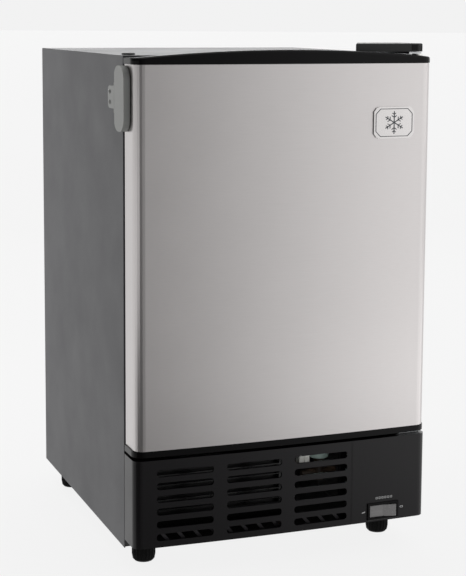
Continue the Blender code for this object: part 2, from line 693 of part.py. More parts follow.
    valve = box("water_valve", (132.0, 168.0), (385.0, 418.0), (52.0, 88.0), nylon, bevel=2.0)
    join(
        valve,
        rod("inlet_neck", 12.0, (150.0, 0.0, 70.0), "Y", 416.0, 436.6),
        rod("outlet_neck", 5.0, (150.0, 0.0, 66.0), "Y", 372.0, 387.0, None, 20),
    )
    cut(valve, rod("inlet_bore", 8.0, (150.0, 0.0, 70.0), "Y", 424.0, 450.0))
    path = [(150.0, 371.0, 66.0), (150.0, 340.0, 66.0), (160.0, 310.0, 110.0), (160.0, 310.0, 228.0)]
    tube("water_tube", bend(path, 16.0), 3.4, nylon)
    gland = [(4.5, 426.0), (8.8, 426.0), (8.8, 435.9), (8.8, 436.7), (4.5, 436.7)]
    lathe("cord_gland", gland, (150.0, 0.0, 120.0), "Y", rubber, 28)


def build_ice_maker():
    alu = finish("mould_aluminium", (0.7, 0.71, 0.72), 0.35, 1.0)
    white = finish("head_white", (0.88, 0.88, 0.88), 0.35)
    nylon = finish("ejector_nylon", (0.8, 0.82, 0.85), 0.4)
    wire = finish("arm_wire", (0.7, 0.7, 0.7), 0.3, 1.0)
    plastic = finish("bin_plastic", (0.82, 0.86, 0.9), 0.3)

    ey, ez = EJECTOR_AXIS
    left, right = MOULD_X
    mould = box("icemaker_mould", MOULD_X, (266.0, 336.0), (444.0, 486.0), alu, bevel=2.0)
    pitch = (right - left - 4.0) / CRESCENTS
    troughs = []
    for i in range(CRESCENTS):
        low = left + 3.0 + pitch * i
        troughs.append(rod("crescent", 30.0, (0.0, ey, ez), "X", low, low + pitch - 2.0, None, 36))
    join_meshes(troughs)
    weirs = rod("weir", 16.0, (0.0, ey, ez), "X", left - 10.0, right + 10.0, None, 28)
    cut(mould, troughs[0], weirs)

    origin = (0.0, ey, ez)
    sides = 20
    finger = (4, 5, 6)
    stations = [(left - 6.0, False)]
    for i in range(CRESCENTS):
        middle = left + 3.0 + pitch * i + (pitch - 2.0) / 2
        stations += [(middle - 2.2, False), (middle - 2.2, True), (middle + 2.2, True), (middle + 2.2, False)]
    stations.append((right + 8.0, False))
    sections = []
    for x, wide in stations:
        ring = []
        for k in range(sides):
            turn = math.tau * k / sides
            radius = 26.0 if wide and k in finger else 5.0
            spread = 0.35 if wide and k in finger else 1.0
            middle = math.tau * finger[1] / sides
            turn = middle + (turn - middle) * spread
            ring.append((x, ey + radius * math.cos(turn), ez + radius * math.sin(turn)))
        sections.append(ring)
    loft("ejector_shaft", sections, nylon, origin)

    head = box("icemaker_head", (88.6, 142.0), (262.0, 344.0), (412.0, 508.0), white, bevel=3.0)
    join(head, box("head_rib", (141.0, 144.0), (280.0, 326.0), (430.0, 490.0)))
    comb = box("icemaker_stripper", (left, right), (268.0, 292.0), (488.4, 490.4), nylon)
    gaps = []
    for i in range(CRESCENTS):
        middle = left + 3.0 + pitch * i + (pitch - 2.0) / 2
        gaps.append(box("comb_gap", (middle - 4.0, middle + 4.0), (272.5, 300.0), (480.0, 500.0)))
    join_meshes(gaps)
    cut(comb, gaps[0])
    cup = box("fill_cup", (-136.0, -107.0), (286.0, 318.0), (470.0, 504.0), white, bevel=1.5)
    cut(cup, box("cup_hollow", (-134.0, -109.0), (288.0, 316.0), (473.0, 520.0)))

    ay, az = ARM_AXIS
    drop = (ay - 16.0, az - 32.0)
    path = [(88.2, ay, az), (80.0, ay, az), (80.0, *drop), (-80.0, *drop), (-80.0, ay, az), (-90.0, ay, az)]
    tube("bail_arm", bend(path, 6.0), 1.6, wire, 10, (0.0, ay, az))
    plate = box("evaporator_plate", (-120.0, 120.0), (390.0, 394.0), (300.0, 540.0), alu, bevel=1.0)
    join(plate, box("evaporator_shelf", (-96.0, 76.0), (337.0, 392.0), (452.0, 478.0)))

    bin_body = box("ice_bin", (-142.0, 142.0), (66.0, 256.0), (181.0, 360.0), plastic)
    cut(bin_body, box("bin_hollow", (-139.4, 139.4), (68.6, 253.4), (183.6, 400.0)))
    rim = prism("bin_handle", rounded((0.0, 340.0), (110.0, 22.0), 10.0), "Y", 50.0, 75.0)
    cut(bin_body, rim)


def build_feet():
    black = finish("foot_black", (0.03, 0.03, 0.03), 0.6)
    sides = 40
    rings = [(11.2, 0.0, 0), (13.4, 2.5, 0), (14.4, 8.0, 1), (14.4, 20.0, 1), (13.4, 23.5, 0)]
    rings += [(12.8, 24.6, 0), (4.0, 24.6, 0), (4.0, 43.0, 0)]
    for i, (x, y) in enumerate(FEET):
        sections = []
        for radius, z, ribbed in rings:
            ring = []
            for k in range(sides):
                turn = math.tau * k / sides
                reach = radius - (0.8 if ribbed and k % 2 else 0.0)
                ring.append((x + reach * math.cos(turn), y + reach * math.sin(turn), z))
            sections.append(ring)
        loft(f"foot_{i + 1}", sections, black, (x, y, 12.0))


def main():
    clear_scene()
    build_cabinet()
    build_door()
    build_hinges()
    build_front()
    build_latch()
    build_bay()
    build_ice_maker()
    build_feet()


main()
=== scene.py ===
"""Studio scene of an under-counter ice maker: finishes, small details, light and camera.

Sizes are in metres, in the frame the CAD model is loaded in.
"""

import logging
import math
from dataclasses import dataclass, replace
from enum import Enum
from typing import ClassVar

import bmesh
import bpy
from mathutils import Matrix, Vector

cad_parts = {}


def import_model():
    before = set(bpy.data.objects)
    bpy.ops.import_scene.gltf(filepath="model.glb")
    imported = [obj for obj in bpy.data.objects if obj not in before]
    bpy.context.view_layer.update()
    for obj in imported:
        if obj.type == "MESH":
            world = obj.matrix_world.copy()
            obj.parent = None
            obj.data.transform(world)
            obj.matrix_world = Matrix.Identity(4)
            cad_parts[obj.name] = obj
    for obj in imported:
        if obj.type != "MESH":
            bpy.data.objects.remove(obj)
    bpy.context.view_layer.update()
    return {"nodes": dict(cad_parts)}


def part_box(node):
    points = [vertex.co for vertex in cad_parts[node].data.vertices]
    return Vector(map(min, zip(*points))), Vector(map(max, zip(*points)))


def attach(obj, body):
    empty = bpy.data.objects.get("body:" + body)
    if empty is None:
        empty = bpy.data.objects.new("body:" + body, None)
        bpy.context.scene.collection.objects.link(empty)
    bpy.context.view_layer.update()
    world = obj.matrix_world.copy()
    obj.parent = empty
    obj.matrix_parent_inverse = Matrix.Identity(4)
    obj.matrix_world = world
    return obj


LOG = logging.getLogger("ice_maker")
MM = 0.001
KICK_BOW = 0.0042
KICK_CORNER = 0.010
DOOR_BOW = 0.0044
DOOR_CORNER = 0.012
BADGE_STANDS_OUT = 0.0019
SHARP_ANGLE = math.radians(40)

Point = tuple[float, float, float]
Colour = tuple[float, float, float]
Pair = tuple[float, float]
Face = tuple[int, ...]
Surface = tuple[list[Point], list[Face]]


class Grain(Enum):
    """Surface patterns a finish can have."""

    BRUSHED = "brushed"
    POWDER = "powder"
    MOULDED = "moulded"
    GLOSS = "gloss"
    CAST = "cast"
    SPANGLE = "spangle"
    FOAM = "foam"


@dataclass(frozen=True)
class Finish:
    """One procedural finish.

    scale is the pattern's size in cycles per metre, bump its depth in metres, vary how far the
    colour moves with the pattern, and wear how much large soft marks change the roughness.
    """

    name: str
    colour: Colour
    grain: Grain
    roughness: float
    metallic: float = 0.0
    scale: float = 900.0
    bump: float = 0.00002
    vary: float = 0.12
    wear: float = 0.08
    coat: float = 0.0
    anisotropic: float = 0.0
    stretch: Point = (1.0, 1.0, 1.0)
    specular: float = 0.5

    MARKS_SCALE: ClassVar[float] = 14.0
    MARKS_IN_COLOUR: ClassVar[float] = 0.35
    MARKS_IN_ROUGHNESS: ClassVar[float] = 0.5
    PATTERN_RANGE: ClassVar[Pair] = (0.25, 0.75)
    COAT_ROUGHNESS: ClassVar[float] = 0.08
    BUMP_STRENGTH: ClassVar[float] = 0.6

    def build(self) -> bpy.types.Material:
        """Make the node material.

        Returns:
            The material, with colour, roughness and bump driven by object-space patterns.
        """
        made = bpy.data.materials.new(self.name)
        made.use_nodes = True
        tree = made.node_tree
        shader = tree.nodes["Principled BSDF"]
        shader.inputs["Metallic"].default_value = self.metallic
        shader.inputs["Coat Weight"].default_value = self.coat
        shader.inputs["Coat Roughness"].default_value = self.COAT_ROUGHNESS
        shader.inputs["Anisotropic"].default_value = self.anisotropic
        shader.inputs["Specular IOR Level"].default_value = self.specular
        fine = self._pattern(tree)
        broad = self._noise(tree, (1.0, 1.0, 1.0), self.MARKS_SCALE, 3.0)
        self._colour(tree, shader, fine, broad)
        self._roughness(tree, shader, fine, broad)
        bump = tree.nodes.new("ShaderNodeBump")
        bump.inputs["Distance"].default_value = self.bump
        bump.inputs["Strength"].default_value = self.BUMP_STRENGTH
        tree.links.new(fine, bump.inputs["Height"])
        tree.links.new(bump.outputs["Normal"], shader.inputs["Normal"])
        return made

    def _noise(
        self, tree: bpy.types.NodeTree, stretch: Point, scale: float, detail: float
    ) -> bpy.types.NodeSocket:
        """Object-space noise.

        Args:
            tree: The material's nodes.
            stretch: Frequency along each axis, as a factor of scale.
            scale: Cycles per metre.
            detail: Octaves.

        Returns:
            The noise's factor.
        """
        place = tree.nodes.new("ShaderNodeTexCoord")
        mapping = tree.nodes.new("ShaderNodeMapping")
        mapping.inputs["Scale"].default_value = stretch
        noise = tree.nodes.new("ShaderNodeTexNoise")
        noise.inputs["Scale"].default_value = scale
        noise.inputs["Detail"].default_value = detail
        noise.inputs["Roughness"].default_value = 0.55
        tree.links.new(place.outputs["Object"], mapping.inputs["Vector"])
        tree.links.new(mapping.outputs["Vector"], noise.inputs["Vector"])
        return noise.outputs["Fac"]

    def _pattern(self, tree: bpy.types.NodeTree) -> bpy.types.NodeSocket:
        """Fine pattern of this grain.

        Args:
            tree: The material's nodes.

        Returns:
            Cells for spangle and foam, noise for the other grains.
        """
        if self.grain in (Grain.SPANGLE, Grain.FOAM):
            place = tree.nodes.new("ShaderNodeTexCoord")
            cells = tree.nodes.new("ShaderNodeTexVoronoi")
            cells.inputs["Scale"].default_value = self.scale
            tree.links.new(place.outputs["Object"], cells.inputs["Vector"])
            name = "Color" if self.grain is Grain.SPANGLE else "Distance"
            return cells.outputs[name]
        if self.grain is Grain.GLOSS:
            return self._noise(tree, (1.0, 1.0, 1.0), self.scale * 0.1, 2.0)
        detail = 6.0 if self.grain is Grain.CAST else 3.0
        return self._noise(tree, self.stretch, self.scale, detail)

    @staticmethod
    def _mixed(
        tree: bpy.types.NodeTree, fine: bpy.types.NodeSocket, broad: bpy.types.NodeSocket, share: float
    ) -> bpy.types.NodeSocket:
        """Fine pattern with large soft marks mixed in.

        Args:
            tree: The material's nodes.
            fine: The grain's own pattern.
            broad: Large soft marks.
            share: How much of the result the marks are.

        Returns:
            The mixed factor.
        """
        blend = tree.nodes.new("ShaderNodeMix")
        blend.data_type = "FLOAT"
        blend.inputs[0].default_value = share
        tree.links.new(fine, blend.inputs[2])
        tree.links.new(broad, blend.inputs[3])
        return blend.outputs[0]

    def _colour(
        self,
        tree: bpy.types.NodeTree,
        shader: bpy.types.Node,
        fine: bpy.types.NodeSocket,
        broad: bpy.types.NodeSocket,
    ) -> None:
        """Link a colour that moves a little with the fine and the broad pattern.

        Args:
            tree: The material's nodes.
            shader: Its Principled node.
            fine: The grain's own pattern.
            broad: Large soft marks.
        """
        low = tuple(c * (1.0 - self.vary) for c in self.colour)
        high = tuple(min(c * (1.0 + self.vary), 1.0) for c in self.colour)
        ramp = tree.nodes.new("ShaderNodeValToRGB")
        for mark, place, colour in zip(ramp.color_ramp.elements, self.PATTERN_RANGE, (low, high)):
            mark.position = place
            mark.color = (*colour, 1.0)
        tree.links.new(self._mixed(tree, fine, broad, self.MARKS_IN_COLOUR), ramp.inputs["Fac"])
        tree.links.new(ramp.outputs["Color"], shader.inputs["Base Color"])

    def _roughness(
        self,
        tree: bpy.types.NodeTree,
        shader: bpy.types.Node,
        fine: bpy.types.NodeSocket,
        broad: bpy.types.NodeSocket,
    ) -> None:
        """Link roughness from the fine pattern, with broad handling marks on top.

        Args:
            tree: The material's nodes.
            shader: Its Principled node.
            fine: The grain's own pattern.
            broad: Large soft marks.
        """
        spread = tree.nodes.new("ShaderNodeMapRange")
        spread.inputs["From Min"].default_value = self.PATTERN_RANGE[0]
        spread.inputs["From Max"].default_value = self.PATTERN_RANGE[1]
        spread.inputs["To Min"].default_value = max(self.roughness - self.wear, 0.04)
        spread.inputs["To Max"].default_value = min(self.roughness + self.wear, 1.0)
        tree.links.new(self._mixed(tree, fine, broad, self.MARKS_IN_ROUGHNESS), spread.inputs["Value"])
        tree.links.new(spread.outputs["Result"], shader.inputs["Roughness"])


STEEL = Finish(
    "brushed_steel", (0.60, 0.575, 0.57), Grain.BRUSHED, 0.30, 1.0, 2600.0, 0.000006,
    vary=0.04, wear=0.03, anisotropic=0.45, stretch=(0.012, 1.0, 1.0),
)
PAINT = Finish(
    "satin_grey_paint", (0.043, 0.043, 0.047), Grain.POWDER, 0.42, 0.0, 1500.0, 0.00003,
    vary=0.06, specular=0.26,
)
GLOSS_BLACK = Finish(
    "gloss_black", (0.0018, 0.0015, 0.0018), Grain.GLOSS, 0.20, 0.0, 500.0, 0.00001,
    wear=0.05, specular=0.13,
)
SATIN_BLACK = Finish(
    "satin_black", (0.0030, 0.0022, 0.0031), Grain.MOULDED, 0.32, 0.0, 2200.0, 0.00002, specular=0.3,
)
HINGE_BLACK = Finish(
    "hinge_black", (0.006, 0.006, 0.006), Grain.MOULDED, 0.38, 0.0, 2200.0, 0.00003, specular=0.3,
)
RUBBER = Finish(
    "rubber", (0.0035, 0.0035, 0.0035), Grain.MOULDED, 0.6, 0.0, 3000.0, 0.00004, specular=0.06,
)
LATCH = Finish(
    "latch_grey", (0.185, 0.188, 0.180), Grain.MOULDED, 0.42, 0.0, 2400.0, 0.00003, vary=0.06,
)
WHITE = Finish("white_liner", (0.80, 0.81, 0.82), Grain.GLOSS, 0.30, 0.0, 300.0, 0.00002, vary=0.03)
NYLON = Finish("nylon", (0.70, 0.70, 0.66), Grain.MOULDED, 0.45, 0.0, 2000.0, 0.00002, vary=0.05)
ZINC = Finish("galvanised", (0.52, 0.53, 0.54), Grain.SPANGLE, 0.42, 1.0, 90.0, 0.00001, vary=0.10)
FOAM = Finish("foam", (0.78, 0.66, 0.36), Grain.FOAM, 0.9, 0.0, 900.0, 0.0003, vary=0.1)
CHROME = Finish(
    "satin_badge", (0.64, 0.62, 0.615), Grain.GLOSS, 0.26, 1.0, 600.0, 0.000005, vary=0.03, wear=0.04,
)
PIN = Finish(
    "turned_steel", (0.70, 0.69, 0.67), Grain.BRUSHED, 0.25, 1.0, 2500.0, 0.00001,
    stretch=(0.1, 0.1, 1.0),
)
ENAMEL = Finish("black_enamel", (0.012, 0.012, 0.013), Grain.CAST, 0.32, 0.0, 700.0, 0.00008, coat=0.4)
ALUMINIUM = Finish("aluminium", (0.72, 0.73, 0.74), Grain.CAST, 0.36, 1.0, 800.0, 0.00003, vary=0.06)
COPPER = Finish("copper", (0.72, 0.34, 0.20), Grain.GLOSS, 0.28, 1.0, 400.0, 0.00001)
GREEN = Finish("pale_green", (0.36, 0.47, 0.43), Grain.MOULDED, 0.4, 0.0, 1500.0, 0.00002)
SMOKE = Finish(
    "smoke_rocker", (0.165, 0.16, 0.16), Grain.BRUSHED, 0.26, 0.0, 1700.0, 0.00001,
    vary=0.28, coat=0.4, stretch=(0.06, 1.0, 1.0),
)
FROST = Finish("frosted_bin", (0.62, 0.70, 0.78), Grain.MOULDED, 0.35, 0.0, 1200.0, 0.00003, vary=0.03)
# Lighter black for the thin rib at the hinge cover's right end: a painted highlight on the cover's black.
HINGE_RIB_HIGHLIGHT = Finish("black_edge_painted_highlight", (0.035, 0.035, 0.035), Grain.MOULDED, 0.4, 0.0, 2200.0, 0.00002)
PRINT = Finish("white_print", (0.40, 0.40, 0.40), Grain.MOULDED, 0.6, 0.0, 4000.0, 0.000005)
# Lighter copy of the panel's satin black for the slanted ribs, which are the same black moulding: the
# lighter tone is a painted highlight.
RIB_PAINTED_HIGHLIGHT = Finish("rib_black_painted_highlight", (0.020, 0.018, 0.021), Grain.MOULDED, 0.45, 0.0, 2200.0, 0.00002, specular=0.3)
INK = Finish("badge_ink", (0.03, 0.035, 0.045), Grain.MOULDED, 0.4, 0.0, 3000.0, 0.00001)
WIRE_WHITE = Finish("wire_white", (0.6, 0.6, 0.58), Grain.GLOSS, 0.4)
WIRE_BLUE = Finish("wire_blue", (0.05, 0.12, 0.35), Grain.GLOSS, 0.4)
WIRE_BLACK = Finish("wire_black", (0.02, 0.02, 0.02), Grain.GLOSS, 0.4)
PAPER = Finish(
    "paper_floor", (0.035, 0.035, 0.035), Grain.MOULDED, 0.85, 0.0, 400.0, 0.00001,
    vary=0.01, wear=0.02, specular=0.1,
)

# base_pan and control_box get black finishes as painted shade: the base pan is bare sheet and the control
# box nylon, and the black stands in for the shade in the bay behind the slots.
FINISH_OF: dict[str, Finish] = {
    "outer_shell": PAINT, "rear_panel": ZINC, "rear_grille": ZINC, "base_pan": ENAMEL, "front_rail": ENAMEL,
    "bay_divider": ZINC, "cabinet_foam": FOAM, "inner_liner": WHITE, "kick_panel": SATIN_BLACK,
    "switch_bezel": GLOSS_BLACK, "control_box": SATIN_BLACK, "hinge_bracket_bottom": ZINC,
    "hinge_pin_bottom": PIN, "hinge_bracket_top": ZINC, "hinge_pin_top": PIN,
    "hinge_cover": HINGE_BLACK, "hinge_plug": HINGE_BLACK, "latch_base": LATCH, "latch_pin": PIN,
    "condenser": ENAMEL, "fan_shroud": SATIN_BLACK, "fan_motor": ZINC, "compressor": ENAMEL,
    "compressor_plate": ENAMEL, "grommet_1": RUBBER, "grommet_2": RUBBER, "grommet_3": RUBBER,
    "grommet_4": RUBBER, "filter_drier": COPPER, "discharge_tube": COPPER, "hot_gas_valve": GREEN,
    "water_valve": NYLON, "water_tube": NYLON, "cord_gland": RUBBER, "evaporator_plate": ALUMINIUM,
    "icemaker_mould": ALUMINIUM, "icemaker_head": WHITE, "icemaker_stripper": NYLON,
    "fill_cup": WHITE, "door_skin": STEEL, "door_foam": FOAM, "door_liner": WHITE,
    "door_gasket": RUBBER, "door_top_trim": GLOSS_BLACK, "door_bottom_trim": GLOSS_BLACK,
    "door_badge": CHROME, "door_bush_top": NYLON, "door_bush_bottom": NYLON,
    "fan_blade": SATIN_BLACK, "switch_rocker": SMOKE, "latch_leaf": LATCH, "ejector_shaft": NYLON,
    "bail_arm": PIN, "ice_bin": FROST, "foot_1": RUBBER, "foot_2": RUBBER, "foot_3": RUBBER,
    "foot_4": RUBBER,
}

EDGE_OF: dict[str, float] = {
    "hinge_cover": 0.5, "kick_panel": 0.7, "door_bottom_trim": 1.0, "door_badge": 0.5,
    "latch_leaf": 1.6, "latch_base": 0.9, "switch_bezel": 0.3, "switch_rocker": 0.6,
    "control_box": 0.5, "outer_shell": 0.45, "door_liner": 1.2, "inner_liner": 0.9, "ice_bin": 0.8,
    "hinge_bracket_bottom": 0.4, "hinge_bracket_top": 0.4, "icemaker_head": 0.6, "fan_motor": 0.4,
}


@dataclass(frozen=True)
class BowedFace:
    """Front of a bowed panel: centre, half width, front corner line, bow and corner radius, in metres."""

    centre: float
    half: float
    corner_line: float
    bow: float
    corner: float

    def front(self, x: float) -> float:
        """The face's y at x."""
        across = min(abs(x - self.centre), self.half - self.corner)
        return self.corner_line - self.bow * (1.0 - (across / self.half) ** 2)


class Palette:
    """Each finish's material, made once."""

    made: dict[str, bpy.types.Material] = {}

    @classmethod
    def get(cls, finish: Finish) -> bpy.types.Material:
        """The material of a finish.

        Args:
            finish: The finish.

        Returns:
            Its material, built on the first call.
        """
        if finish.name not in cls.made:
            cls.made[finish.name] = finish.build()
        return cls.made[finish.name]


class Shapes:
    """Mesh building shared by the detail classes."""

    @staticmethod
    def piece(name: str, surface: Surface, finish: Finish, body: str) -> bpy.types.Object:
        """Link a mesh that rides on a body.

        Args:
            name: Piece name.
            surface: Points in metres, and the faces between them.
            finish: What it is made of.
            body: The CAD body it moves with.

        Returns:
            The new object.
        """
        points, faces = surface
        made = bmesh.new()
        verts = [made.verts.new(point) for point in points]
        for face in faces:
            made.faces.new([verts[i] for i in face])
        bmesh.ops.recalc_face_normals(made, faces=made.faces)
        mesh = bpy.data.meshes.new(name)
        made.to_mesh(mesh)
        made.free()
        for polygon in mesh.polygons:
            polygon.use_smooth = True
        mesh.set_sharp_from_angle(angle=SHARP_ANGLE)
        obj = bpy.data.objects.new(name, mesh)
        bpy.context.scene.collection.objects.link(obj)
        mesh.materials.append(Palette.get(finish))
        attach(obj, body)
        LOG.info("%s rides on %s: %d faces", name, body, len(faces))
        return obj

    @staticmethod
    def join(parts: list[Surface]) -> Surface:
        """Put several surfaces together.

        Args:
            parts: The surfaces, in order.

        Returns:
            All their points and faces as one surface.
        """
        points: list[Point] = []
        faces: list[Face] = []
        for more, around in parts:
            faces += [tuple(i + len(points) for i in face) for face in around]
            points += more
        return points, faces

    @staticmethod
    def loft(sections: list[list[Point]]) -> Surface:
        """Skin over outlines of equal length, closed at both ends.

        Args:
            sections: The outlines, each with its points in the same order.

        Returns:
            Points and faces.
        """
        count = len(sections[0])
        faces: list[Face] = []
        for row in range(len(sections) - 1):
            low = row * count
            for i in range(count):
                j = (i + 1) % count
                faces.append((low + i, low + j, low + count + j, low + count + i))
        faces.append(tuple(range(count)))
        faces.append(tuple((len(sections) - 1) * count + i for i in range(count)))
        return [point for section in sections for point in section], faces

    @staticmethod
    def block(low: Point, high: Point, inset: float, rim: float) -> Surface:
        """Box whose top and bottom edges are cut back.

        Args:
            low: Lowest corner, in metres.
            high: Highest corner.
            inset: How far the top and the bottom stand in from the sides.
            rim: Height over which they do.

        Returns:
            Points and faces.
        """
        sections = []
        for z, cut in ((low[2], inset), (low[2] + rim, 0.0), (high[2] - rim, 0.0), (high[2], inset)):
            left, front = low[0] + cut, low[1] + cut
            right, back = high[0] - cut, high[1] - cut
            sections.append([(left, front, z), (right, front, z), (right, back, z), (left, back, z)])
        return Shapes.loft(sections)

    @staticmethod
    def turned(profile: list[Pair], centre: Vector, axis: Vector, sides: int = 24) -> Surface:
        """Body turned about an axis.

        Args:
            profile: Radius and height pairs along the axis, in metres.
            centre: Where height is nothing.
            axis: Direction of growing height.
            sides: Points round each ring.

        Returns:
            Points and faces.
        """
        turn = axis.normalized().to_track_quat("Z", "Y").to_matrix()
        sections = []
        for radius, height in profile:
            ring = []
            for k in range(sides):
                angle = math.tau * k / sides
                local = Vector((radius * math.cos(angle), radius * math.sin(angle), height))
                ring.append(tuple(centre + turn @ local))
            sections.append(ring)
        return Shapes.loft(sections)

    @staticmethod
    def tube(path: list[Vector], radius: float, sides: int = 8) -> Surface:
        """Round rod along a path.

        Args:
            path: Points of the centre line.
            radius: Radius in metres.
            sides: Points round each ring.

        Returns:
            Points and faces.
        """
        sections = []
        # No path here runs this way at its start, so every ring can be turned square to its path.
        side = Vector((0.31, 0.22, 0.92))
        for i, point in enumerate(path):
            along = (path[min(i + 1, len(path) - 1)] - path[max(i - 1, 0)]).normalized()
            side = (side - along * side.dot(along)).normalized()
            up = along.cross(side)
            ring = []
            for k in range(sides):
                angle = math.tau * k / sides
                ring.append(tuple(point + radius * (math.cos(angle) * side + math.sin(angle) * up)))
            sections.append(ring)
        return Shapes.loft(sections)

    @staticmethod
    def smooth(points: list[Point], steps: int = 8) -> list[Vector]:
        """Curve through the points, with the points' own neighbours giving its slope.

        Args:
            points: Places the curve passes.
            steps: Pieces between two places.

        Returns:
            Points along the curve.
        """
        ends = [Vector(points[0]), *[Vector(p) for p in points], Vector(points[-1])]
        path: list[Vector] = []
        for a, b, c, d in zip(ends, ends[1:], ends[2:], ends[3:]):
            for i in range(steps):
                t = i / steps
                square = (2 * a - 5 * b + 4 * c - d) * t * t
                cube = (3 * b - a - 3 * c + d) * t**3
                path.append(0.5 * (2 * b + (c - a) * t + square + cube))
        path.append(Vector(points[-1]))
        return path

    @staticmethod
    def plate_on(face: BowedFace, outline: list[Pair], rise: float, lift: float = 0.00002) -> Surface:
        """Thin plate lying on a bowed face.

        Args:
            face: The face it lies on.
            outline: x and z pairs round the plate.
            rise: How far it stands out, in metres.
            lift: Gap under it.

        Returns:
            Points and faces.
        """
        back = [(x, face.front(x) - lift, z) for x, z in outline]
        front = [(x, face.front(x) - lift - rise, z) for x, z in outline]
        return Shapes.loft([back, front])


@dataclass
class Dressing:
    """Gives every CAD node its finish and its softened edges."""

    nodes: dict[str, bpy.types.Object]
    bevel_steps: int = 3
    bevel_angle: float = 50.0
    stem_height: float = 0.0289
    brass: Colour = (0.045, 0.030, 0.020)

    def build(self) -> None:
        """Put a finish on every node, and a small bevel where edges are seen close."""
        for name, obj in self.nodes.items():
            obj.data.materials.clear()
            obj.data.materials.append(Palette.get(FINISH_OF[name]))
            if name in EDGE_OF:
                bevel = obj.modifiers.new("soft_edge", "BEVEL")
                bevel.width = EDGE_OF[name] * MM
                bevel.segments = self.bevel_steps
                bevel.limit_method = "ANGLE"
                bevel.angle_limit = math.radians(self.bevel_angle)
                bevel.harden_normals = True
                bevel.use_clamp_overlap = True
            LOG.info("%s finished as %s", name, FINISH_OF[name].name)
        self._valve_stem()

    def _valve_stem(self) -> None:
        """Turn the green coil's finish to dull brass on the stem and the pipe under it."""
        tree = Palette.get(GREEN).node_tree
        shader = tree.nodes["Principled BSDF"]
        green = shader.inputs["Base Color"].links[0].from_socket
        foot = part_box("hot_gas_valve")[0].z + self.stem_height
        place = tree.nodes.new("ShaderNodeTexCoord")
        split = tree.nodes.new("ShaderNodeSeparateXYZ")
        above = tree.nodes.new("ShaderNodeMath")
        above.operation = "GREATER_THAN"
        above.inputs[1].default_value = foot
        blend = tree.nodes.new("ShaderNodeMix")
        blend.data_type = "RGBA"
        blend.inputs[6].default_value = (*self.brass, 1.0)
        tree.links.new(place.outputs["Object"], split.inputs["Vector"])
        tree.links.new(split.outputs["Z"], above.inputs[0])
        tree.links.new(above.outputs[0], blend.inputs[0])
        tree.links.new(green, blend.inputs[7])
        tree.links.new(blend.outputs[2], shader.inputs["Base Color"])


@dataclass
class Screws:
    """Hex washer screws on the back, and pan screws on the latch's base."""

    cabinet: str = "cabinet"
    head: float = 0.0035
    side_margin: float = 0.010
    end_margin: float = 0.009
    seat_depth: float = 0.0033
    pan_radius: float = 0.0028
    pan_from_back: float = 0.008
    pan_shares: Pair = (0.27, 0.73)
    base_thick: float = 0.0046
    tip: float = 0.0002

    def _hex(self, at: Vector, out: Vector) -> list[Surface]:
        """Washer and hexagon of one screw.

        Args:
            at: Where the washer sits.
            out: Direction the head points in.

        Returns:
            The washer and the hexagon.
        """
        size = self.head
        washer = [(self.tip, 0.0), (size * 1.35, 0.0), (size * 1.4, 0.0004), (size * 1.1, 0.0008)]
        hexagon = [(self.tip, 0.0006), (size, 0.0007), (size, 0.0026), (size * 0.85, 0.0031)]
        return [
            Shapes.turned(washer + [(self.tip, 0.0008)], at, out),
            Shapes.turned(hexagon + [(self.tip, 0.0032)], at, out, 6),
        ]

    def _pan(self, at: Vector, out: Vector) -> Surface:
        """Low dome with a shallow round socket in its top.

        Args:
            at: Where the head sits.
            out: Direction the head points in.

        Returns:
            Points and faces.
        """
        size = self.pan_radius
        dome = [(self.tip, 0.0), (size, 0.0), (size, 0.0003), (size * 0.85, 0.0008), (size * 0.5, 0.0011)]
        socket = [(size * 0.42, 0.0010), (size * 0.3, 0.0007), (self.tip, 0.0006)]
        return Shapes.turned(dome + socket, at, out)

    def build(self) -> None:
        """Place the screws from the sheets' own boxes."""
        parts = []
        for name in ("rear_panel", "rear_grille"):
            low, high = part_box(name)
            for x in (low.x + self.side_margin, (low.x + high.x) / 2, high.x - self.side_margin):
                for z in (low.z + self.end_margin, high.z - self.end_margin):
                    parts += self._hex(Vector((x, high.y - self.seat_depth, z)), Vector((0.0, 1.0, 0.0)))
        Shapes.piece("rear_screws", Shapes.join(parts), PIN, self.cabinet)
        low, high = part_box("latch_base")
        x, y = high.x - self.base_thick, high.y - self.pan_from_back
        heights = [low.z + (high.z - low.z) * share for share in self.pan_shares]
        parts = [self._pan(Vector((x, y, z)), Vector((-1.0, 0.0, 0.0))) for z in heights]
        Shapes.piece("latch_screws", Shapes.join(parts), LATCH, self.cabinet)


